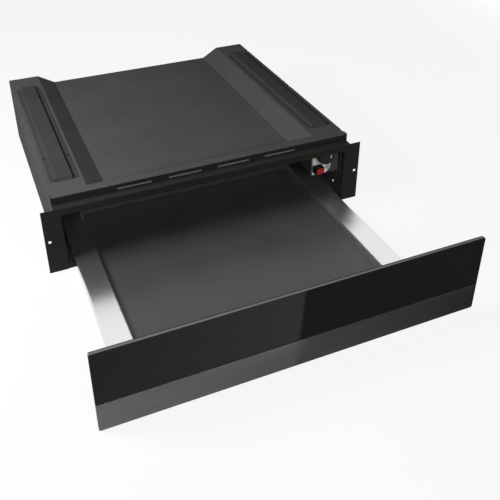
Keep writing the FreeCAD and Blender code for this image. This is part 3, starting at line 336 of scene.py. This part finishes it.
def printed_foil(name, colour):
    """Ink on foil: a faint fibre grain under a cloudy tone."""
    s = Shader(name, Specular_IOR_Level=0.4)
    fibre = s.noise(900, detail=2)
    clouds = s.noise(50, detail=2)
    base = s.mix(s.spread(clouds, 0, 1), tint(colour, 0.97), tint(colour, 1.02))
    s.feed("Base Color", s.mix(s.spread(fibre, 0, 0.25), base, tint(colour, 0.9)))
    s.feed("Roughness", s.spread(fibre, 0.34, 0.44))
    s.bump(fibre, 0.1, 0.00003)
    return s.material


def glowing_plastic(name, colour):
    """Clear coloured cap over a neon lamp: deep colour, glossy, a faint glow from inside."""
    s = Shader(name, Specular_IOR_Level=0.12, Emission_Color=tint(colour, 1.0),
               Emission_Strength=0.12)
    ribs = s.noise(900, (1, 0.2, 0.02), detail=1)
    s.feed("Base Color", s.mix(s.spread(ribs, 0, 1), tint(colour, 0.9), tint(colour, 1.1)))
    s.feed("Roughness", s.spread(ribs, 0.16, 0.24))
    rounded, _ = s.edges(SOFT_EDGE)
    s.feed("Normal", rounded)
    return s.material


def make_materials():
    """Every finish by name. Slots of the record have the same names as their finishes."""
    return {
        "casing_paint": powder_coat("casing_paint", (0.062, 0.0605, 0.0592), roughness=0.6,
                                    specular=0.0),
        # Darker copy of the casing paint: painted shade on the support rails
        "shaded_rail_paint": powder_coat("shaded_rail_paint", (0.041, 0.040, 0.0389), roughness=0.6,
                                  specular=0.0),
        # Same paint as the casing's, made darker: painted shade on the front frame's forward
        # faces, and on the rail rivets that wear it
        "frame_paint": powder_coat("frame_paint", (0.019, 0.0186, 0.0176), roughness=0.5,
                                   specular=0.02),
        "galvanised_steel": zinc_plate("galvanised_steel", (0.50, 0.51, 0.52)),
        "stainless_steel": brushed("stainless_steel", (0.84, 0.84, 0.835), roughness=0.281,
                                   along="y", contrast=0.025, depth=0.0000001, scale=2600,
                                   edge_radius=0.0035, scatter=0.055, streaks=0.02,
                                   across="X", fan=0.75),
        "floor_coating": powder_coat("floor_coating", (0.044, 0.043, 0.042), roughness=0.36,
                                     specular=0.5, grain=0.4),
        "black_glass": black_glass("black_glass"),
        "dark_brushed_steel": brushed("dark_brushed_steel", (0.145, 0.143, 0.141),
                                      roughness=0.30, along="x", contrast=0.15, scale=1000,
                                      streaks=0.08),
        "black_plastic": moulded("black_plastic", (0.0125, 0.0124, 0.0118), specular=0.12),
        "red_plastic": glowing_plastic("red_plastic", (0.30, 0.006, 0.004)),
        "white_plastic": moulded("white_plastic", (0.72, 0.72, 0.70), sparkle=0.03),
        "scale_print": printed_foil("scale_print", (0.70, 0.69, 0.72)),
        "cream_plastic": moulded("cream_plastic", (0.66, 0.62, 0.50), sparkle=0.04),
        "natural_plastic": moulded("natural_plastic", (0.78, 0.77, 0.72), sparkle=0.03),
        # Lighter metal for the slot lips than the frame's paint: the lamps light them, and the
        # lighter tone adds a painted highlight
        "lip_highlight_zinc": zinc_plate("lip_highlight_zinc", (0.115, 0.113, 0.108), roughness=0.5),
        "ink": printed_foil("ink", (0.03, 0.03, 0.035)),
        "dial_yellow": printed_foil("dial_yellow", (0.80, 0.52, 0.10)),
        "brass": brushed("brass", (0.62, 0.47, 0.20), roughness=0.28, along="y"),
        "zinc_steel": zinc_plate("zinc_steel", (0.60, 0.60, 0.58), spangle=700),
        "heater_steel": brushed("heater_steel", (0.26, 0.24, 0.22), roughness=0.4, along="x"),
        "blackened_steel": brushed("blackened_steel", (0.03, 0.03, 0.032), roughness=0.4,
                                   along="z"),
        "pointer_print": moulded("pointer_print", (0.30, 0.30, 0.29), sparkle=0.03),
        "symbol_print": printed_foil("symbol_print", (0.62, 0.47, 0.27)),
        # Dull brown film laid on the scale plate round the lamp ring: painted shade
        "painted_shade_print": printed_foil("painted_shade_print", (0.27, 0.24, 0.19)),
        "copper": brushed("copper", (0.60, 0.32, 0.18), roughness=0.3, along="y"),
    }


materials = make_materials()

# Nodes that wear another finish than the one of their slot
OWN_FINISHES = {"left_support_rail": "shaded_rail_paint", "right_support_rail": "shaded_rail_paint",
                "rocker_pin": "blackened_steel"}


def dress_frame():
    """Give every CAD node the finish of its slot in the record, or its own."""
    finishes = {p["node"]: p["material_slot"] for p in frame["record"]["subparts"]}
    finishes.update(OWN_FINISHES)
    for name, node in frame["nodes"].items():
        material = materials[finishes[name]]
        for slot in node.material_slots:
            slot.material = material
        if not node.material_slots:
            node.data.materials.append(material)


# ---------------------------------------------------------------- small pieces
def mesh_piece(name, bm, finish, body):
    """Turn bm into an object that wears a finish and rides a body."""
    mesh = bpy.data.meshes.new(name)
    bm.to_mesh(mesh)
    bm.free()
    mesh.materials.append(materials[finish])
    piece = bpy.data.objects.new(name, mesh)
    bpy.context.scene.collection.objects.link(piece)
    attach(piece, body)
    return piece


def evaluated_mesh(thing):
    """New mesh of an object as its modifiers or its text make it."""
    graph = bpy.context.evaluated_depsgraph_get()
    return bpy.data.meshes.new_from_object(thing.evaluated_get(graph))


def axis_frame(centre, axis):
    """Matrix that takes local +Z to axis, at centre."""
    turn = Vector(axis).to_track_quat("Z", "Y").to_matrix().to_4x4()
    return Matrix.Translation(Vector(centre)) @ turn


def skin(bm, rows):
    """Fill the space between neighbouring rows of vertices with four-sided faces."""
    for row, following in zip(rows, rows[1:]):
        for k in range(len(row) - 1):
            bm.faces.new((row[k], row[k + 1], following[k + 1], following[k]))


def turned(bm, section, radius, height, place, sides):
    """Add a solid of revolution. Its section is pairs of shares of the radius and the height, and
    an end that doesn't lie on the axis is closed by a flat face."""
    rings = []
    for radius_share, height_share in section:
        r, z = radius * radius_share, height * height_share
        if r == 0:
            rings.append([bm.verts.new(place @ Vector((0, 0, z)))])
            continue
        angles = [2 * math.pi * i / sides for i in range(sides)]
        rings.append([bm.verts.new(place @ Vector((r * math.cos(angle), r * math.sin(angle), z)))
                      for angle in angles])
    for lower, upper in zip(rings, rings[1:]):
        for i in range(sides):
            j = (i + 1) % sides
            corners = [lower[i % len(lower)], lower[j % len(lower)], upper[j % len(upper)],
                       upper[i % len(upper)]]
            unique = list(dict.fromkeys(corners))
            bm.faces.new(unique).smooth = True
    for ends in (rings[0], rings[-1]):
        if len(ends) > 1:
            bm.faces.new(ends)


def solid_boxes(node):
    """Lowest and highest corner of each separate solid of a CAD node."""
    bm = bmesh.new()
    bm.from_mesh(frame["nodes"][node].data)
    bmesh.ops.remove_doubles(bm, verts=bm.verts, dist=SAME_PLACE)
    boxes = []
    left = set(bm.verts)
    while left:
        island, stack = [], [left.pop()]
        while stack:
            vertex = stack.pop()
            island.append(vertex.co.copy())
            for edge in vertex.link_edges:
                other = edge.other_vert(vertex)
                if other in left:
                    left.remove(other)
                    stack.append(other)
        boxes.append(tuple(Vector([pick(p[k] for p in island) for k in range(3)])
                           for pick in (min, max)))
    bm.free()
    return boxes


def make_slot_lips():
    """Lanced lips: the strip of each slot in the top bar, pushed inwards and left sloping."""
    bm = bmesh.new()
    lower, upper = LIP_Z
    half = LIP_HALF_LENGTH
    for i in range(SLOT_COUNT):
        middle = (i - (SLOT_COUNT - 1) / 2) * SLOT_PITCH
        rows = []
        for share, setback in LIP_BOW:
            y, z = LIP_Y + setback, lower + (upper - lower) * share
            rows.append([bm.verts.new(Vector((middle + x, y, z)) * MM)
                         for x in (-half, -half + LIP_END, half - LIP_END, half)])
        skin(bm, rows)
    bm.normal_update()
    bmesh.ops.solidify(bm, geom=list(bm.faces), thickness=-LIP_THICKNESS * MM)
    bmesh.ops.recalc_face_normals(bm, faces=bm.faces)
    # The lips wear a lighter metal than the frame: partly real light on them, partly painted
    # highlight
    mesh_piece("bar_slot_lips", bm, "lip_highlight_zinc", "casing")


def make_rivets():
    """Domed blind rivets with a dimple where the mandrel broke off."""
    bm = bmesh.new()
    for low_corner, high_corner in solid_boxes("support_rail_rivets"):
        centre = (low_corner + high_corner) / 2
        radius = (high_corner.x - low_corner.x) / 2
        height = high_corner.z - low_corner.z
        place = axis_frame((centre.x, centre.y, low_corner.z), (0, 0, 1))
        turned(bm, BLIND_RIVET, radius, height, place, RIVET_SIDES)
    bmesh.ops.recalc_face_normals(bm, faces=bm.faces)
    # The rivets wear the darkened frame paint: painted shade, so that they show as dark dots
    piece = mesh_piece("rail_blind_rivets", bm, "frame_paint", "casing")
    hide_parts("support_rail_rivets")


def make_cross_screws(name, node, body):
    """Pan-head screws that face +Y, with a cross recess, standing where the CAD heads stand."""
    bm = bmesh.new()
    recess = bmesh.new()
    for low_corner, high_corner in solid_boxes(node):
        centre = (low_corner + high_corner) / 2
        radius = (high_corner.x - low_corner.x) / 2
        height = high_corner.y - low_corner.y
        place = axis_frame((centre.x, low_corner.y, centre.z), (0, 1, 0))
        turned(bm, PAN_HEAD, radius, height, place, SCREW_SIDES)
        for turn in (0, math.pi / 2):
            cut = bmesh.ops.create_cube(recess, size=1.0)
            shape = Matrix.Diagonal((radius * RECESS_LENGTH, radius * RECESS_WIDTH, height, 1))
            spin = Matrix.Rotation(turn + math.radians(RECESS_TURN), 4, "Z")
            lift = Matrix.Translation((0, 0, height * RECESS_MIDDLE))
            bmesh.ops.transform(recess, matrix=place @ lift @ spin @ shape, verts=cut["verts"])
    bmesh.ops.recalc_face_normals(bm, faces=bm.faces)
    piece = mesh_piece(name, bm, "zinc_steel", body)
    cut_away(piece, recess)
    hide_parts(node)


def cut_away(piece, cutter_bm):
    """Take the shape in cutter_bm out of a piece for good."""
    mesh = bpy.data.meshes.new(piece.name + "_recess")
    cutter_bm.to_mesh(mesh)
    cutter_bm.free()
    cutter = bpy.data.objects.new(piece.name + "_recess", mesh)
    bpy.context.scene.collection.objects.link(cutter)
    modifier = piece.modifiers.new("recess", "BOOLEAN")
    modifier.operation = "DIFFERENCE"
    modifier.solver = "EXACT"
    modifier.use_self = True
    modifier.object = cutter
    baked = evaluated_mesh(piece)
    piece.modifiers.clear()
    piece.data = baked
    bpy.data.objects.remove(cutter)


# ---------------------------------------------------------------- print on the scale plate
def dial_point(radius, clockwise):
    """Point of the dial's print, in metres, at an angle clockwise from three o'clock."""
    angle = math.radians(clockwise)
    return Vector(((DIAL_X + radius * math.cos(angle)) * MM, (PLATE_Y - PRINT_LIFT) * MM,
                   (DIAL_Z - radius * math.sin(angle)) * MM))


def arc_band(bm, start, end, inner, outer_start, outer_end, steps=48):
    """Flat band round the knob whose outer radius grows along its way."""
    rows = []
    for i in range(steps + 1):
        share = i / steps
        angle = start + (end - start) * share
        outer = outer_start + (outer_end - outer_start) * share
        rows.append([bm.verts.new(dial_point(r, angle)) for r in (inner, outer)])
    skin(bm, rows)


def tick(bm, angle, half_angle, outer):
    """Flat tick of the dial, centred on an angle."""
    arc_band(bm, angle - half_angle, angle + half_angle, TICK_INNER, outer, outer, TICK_STEPS)


def lay_ring(bm, x, z, inner, outer, steps=40):
    """Flat printed ring on the scale plate."""
    rows = []
    for i in range(steps):
        angle = 2 * math.pi * i / steps
        rows.append([bm.verts.new(Vector((x + r * math.cos(angle), PLATE_Y - PRINT_LIFT,
                                          z + r * math.sin(angle))) * MM)
                     for r in (inner, outer)])
    skin(bm, rows + rows[:1])


def print_piece(name, bm, finish):
    """Close a flat print into a thin film and lay it on the scale plate."""
    bmesh.ops.recalc_face_normals(bm, faces=bm.faces)
    bm.normal_update()
    bm.faces.ensure_lookup_table()
    towards_plate = 1 if bm.faces[0].normal.y < 0 else -1
    bmesh.ops.solidify(bm, geom=list(bm.faces), thickness=towards_plate * FILM * MM)
    bmesh.ops.recalc_face_normals(bm, faces=bm.faces)
    mesh_piece(name, bm, finish, "casing")


def make_dial_ticks():
    """A long tick at each number, and short ones on the way to the next."""
    marks = bmesh.new()
    for angle in DIAL_NUMBERS:
        tick(marks, angle, *LONG_TICK)
        for offset in SHORT_TICK_OFFSETS:
            if angle + offset < max(DIAL_NUMBERS):
                tick(marks, angle + offset, *SHORT_TICK)
    print_piece("dial_ticks", marks, "ink")


def make_dial_numbers():
    """Upright numbers round the dial, each an object of its own."""
    for angle, text in DIAL_NUMBERS.items():
        curve = bpy.data.curves.new("dial_number", "FONT")
        curve.body = text
        curve.size = NUMBER_SIZE * MM
        curve.align_x = "CENTER"
        curve.align_y = "CENTER"
        curve.extrude = NUMBER_HALF_DEPTH * MM
        holder = bpy.data.objects.new("dial_number", curve)
        bpy.context.scene.collection.objects.link(holder)
        mesh = evaluated_mesh(holder)
        bpy.data.objects.remove(holder)
        upright = Matrix.Rotation(math.pi / 2, 4, "X")
        mesh.transform(Matrix.Translation(dial_point(NUMBER_RADIUS, angle)) @ upright)
        mesh.materials.clear()
        mesh.materials.append(materials["ink"])
        number = bpy.data.objects.new("dial_number_" + text, mesh)
        bpy.context.scene.collection.objects.link(number)
        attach(number, "casing")


def make_dial_band():
    """Band that widens as the temperature rises."""
    band = bmesh.new()
    arc_band(band, start=48, end=267, inner=17.35, outer_start=17.5, outer_end=22.4)
    print_piece("dial_band", band, "dial_yellow")


def make_lamp_rings():
    """Light ring beside the switch, with a disc of painted shade inside it and a band of painted
    shade outside it.
    """
    for name, finish, inner, outer in LAMP_RINGS:
        ring = bmesh.new()
        lay_ring(ring, LAMP_X, LAMP_Z, inner, outer)
        print_piece(name, ring, finish)


# ---------------------------------------------------------------- bar in the knob's face
def rounded_outline(width, height, radius, steps=6):
    """Corners of an upright rounded rectangle about the origin, anticlockwise."""
    points = []
    for corner in range(4):
        start = corner * math.pi / 2
        middle_x = math.copysign(width / 2 - radius, math.cos(start + math.pi / 4))
        middle_z = math.copysign(height / 2 - radius, math.sin(start + math.pi / 4))
        for i in range(steps + 1):
            angle = start + i / steps * math.pi / 2
            points.append((middle_x + radius * math.cos(angle),
                           middle_z + radius * math.sin(angle)))
    return points


def make_pointer_bar():
    """Moulded bar let into the knob's face, its rim eased, in place of the plain pointer."""
    (left, front, bottom), (right, back, top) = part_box("knob_pointer")
    middle_x, middle_z = (left + right) / 2, (bottom + top) / 2
    width, height = BAR_SHARE * (right - left), top - bottom
    bm = bmesh.new()
    rings = []
    for y, inset in ((back, 0), (front + RIM_DEPTH, 0), (front, RIM)):
        outline = rounded_outline(width - 2 * inset, height - 2 * inset, width / 2 - inset)
        rings.append([bm.verts.new((middle_x + x, y, middle_z + z)) for x, z in outline])
    skin(bm, [ring + ring[:1] for ring in rings])
    bm.faces.new(rings[0])
    bm.faces.new(rings[-1])
    bmesh.ops.remove_doubles(bm, verts=bm.verts, dist=SAME_PLACE)
    bmesh.ops.recalc_face_normals(bm, faces=bm.faces)
    piece = mesh_piece("pointer_bar", bm, "pointer_print", "temperature_knob")
    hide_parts("knob_pointer")


# ---------------------------------------------------------------- floor, world and lamps
def make_floor():
    """White paper that glows to the rays that see it, so that it comes out almost white."""
    bpy.ops.mesh.primitive_plane_add(size=FLOOR_SIZE)
    floor = bpy.context.object
    floor.name = "studio_floor"
    floor.location.z = -FLOOR_DROP
    material = bpy.data.materials.new("studio_floor")
    material.use_nodes = True
    tree = Nodes(material.node_tree)
    tree.nodes.clear()
    paper = tree.node("BsdfDiffuse", {"Color": PAPER_WHITE})
    glow = tree.node("Emission", {"Color": floor_glow(tree), "Strength": 1.0})
    share = tree.calculate("MULTIPLY", tree.seen_rays(), FLOOR_GLOW)
    mixed = tree.node("MixShader", {0: share, 1: paper.outputs[0], 2: glow.outputs[0]})
    tree.node("OutputMaterial", {"Surface": mixed.outputs[0]})
    floor.data.materials.append(material)


def floor_glow(tree):
    """White to the camera. Polished pieces also see a grey card lying in front of the drawer."""
    place = tree.node("TexCoord").outputs["Object"]
    split = tree.node("SeparateXYZ", {"Vector": place})
    x, y = split.outputs["X"], split.outputs["Y"]
    shift = tree.calculate("MULTIPLY", tree.calculate("ADD", y, CARD_FRONT), CARD_SLANT)
    right_side = tree.spread(tree.calculate("ADD", x, shift), 0, 1, CARD_EDGE - CARD_SOFTNESS,
                             CARD_EDGE + CARD_SOFTNESS, smooth=True)
    near, far = (tree.blend(right_side, tree.spread(x, *left, *CARD_LEFT_X),
                            tree.spread(x, *right, *CARD_RIGHT_X))
                 for left, right in (CARD_NEAR_TONES, CARD_FAR_TONES))
    card = tree.blend(tree.spread(y, 0, 1, -CARD_FRONT - CARD_SOFTNESS, -CARD_FRONT), far, near)
    on_card = tree.calculate("MULTIPLY", tree.spread(y, 0, 1, *CARD_FADE_IN, smooth=True),
                             tree.spread(y, 1, 0, *CARD_FADE_OUT, smooth=True))
    glossy = tree.node("LightPath").outputs["Is Glossy Ray"]
    return tree.blend(tree.calculate("MULTIPLY", on_card, glossy), 1.0, card)


def make_world():
    """White to the rays that see it, and a dim light to matt surfaces."""
    world = bpy.data.worlds.new("studio")
    bpy.context.scene.world = world
    world.use_nodes = True
    tree = Nodes(world.node_tree)
    tree.nodes.clear()
    ambient = tree.node("Background", {"Color": WHITE, "Strength": AMBIENT})
    white = tree.node("Background", {"Color": WHITE})
    mixed = tree.node("MixShader", {0: tree.seen_rays(), 1: ambient.outputs[0],
                                    2: white.outputs[0]})
    tree.node("OutputWorld", {"Surface": mixed.outputs[0]})


def soft_box(name, place, aim, size, power, reflected):
    """Lamp hidden from the camera, and also from polished pieces unless it is reflected. Its size
    is its width and height."""
    data = bpy.data.lights.new(name, "AREA")
    data.shape = "RECTANGLE"
    data.size, data.size_y = size
    data.energy = power
    lamp = bpy.data.objects.new(name, data)
    bpy.context.scene.collection.objects.link(lamp)
    lamp.location = place
    lamp.rotation_mode = "QUATERNION"
    direction = Vector(aim) - Vector(place)
    lamp.rotation_quaternion = direction.to_track_quat("-Z", "Y")
    lamp.visible_camera = False
    lamp.visible_glossy = reflected


def make_lights():
    """Key lamp at the upper left, a broad one in front and a low strip on the right."""
    soft_box("key_softbox", place=(-0.95, -0.2, 0.90), aim=(0, 0, 0.1), size=(0.55, 0.55),
             power=21.5, reflected=False)
    soft_box("front_softbox", place=(-0.2, -2.0, 1.15), aim=(0, -0.2, 0.08), size=(1.4, 0.7),
             power=22, reflected=True)
    # Low strip that reaches the side away from the key, and nothing above the casing
    soft_box("side_strip", place=(1.5, 0.2, 0.06), aim=(0, 0.2, 0.06), size=(2.2, 0.09),
             power=9, reflected=False)


bpy.context.scene.view_settings.view_transform = "Standard"
make_camera()
dress_frame()
make_slot_lips()
make_rivets()
make_cross_screws("rear_cross_screws", "rear_wall_screws", "casing")
make_cross_screws("carrier_cross_screws", "front_carrier_screws", "drawer")
make_dial_ticks()
make_dial_numbers()
make_dial_band()
make_lamp_rings()
make_pointer_bar()
make_floor()
make_world()
make_lights()
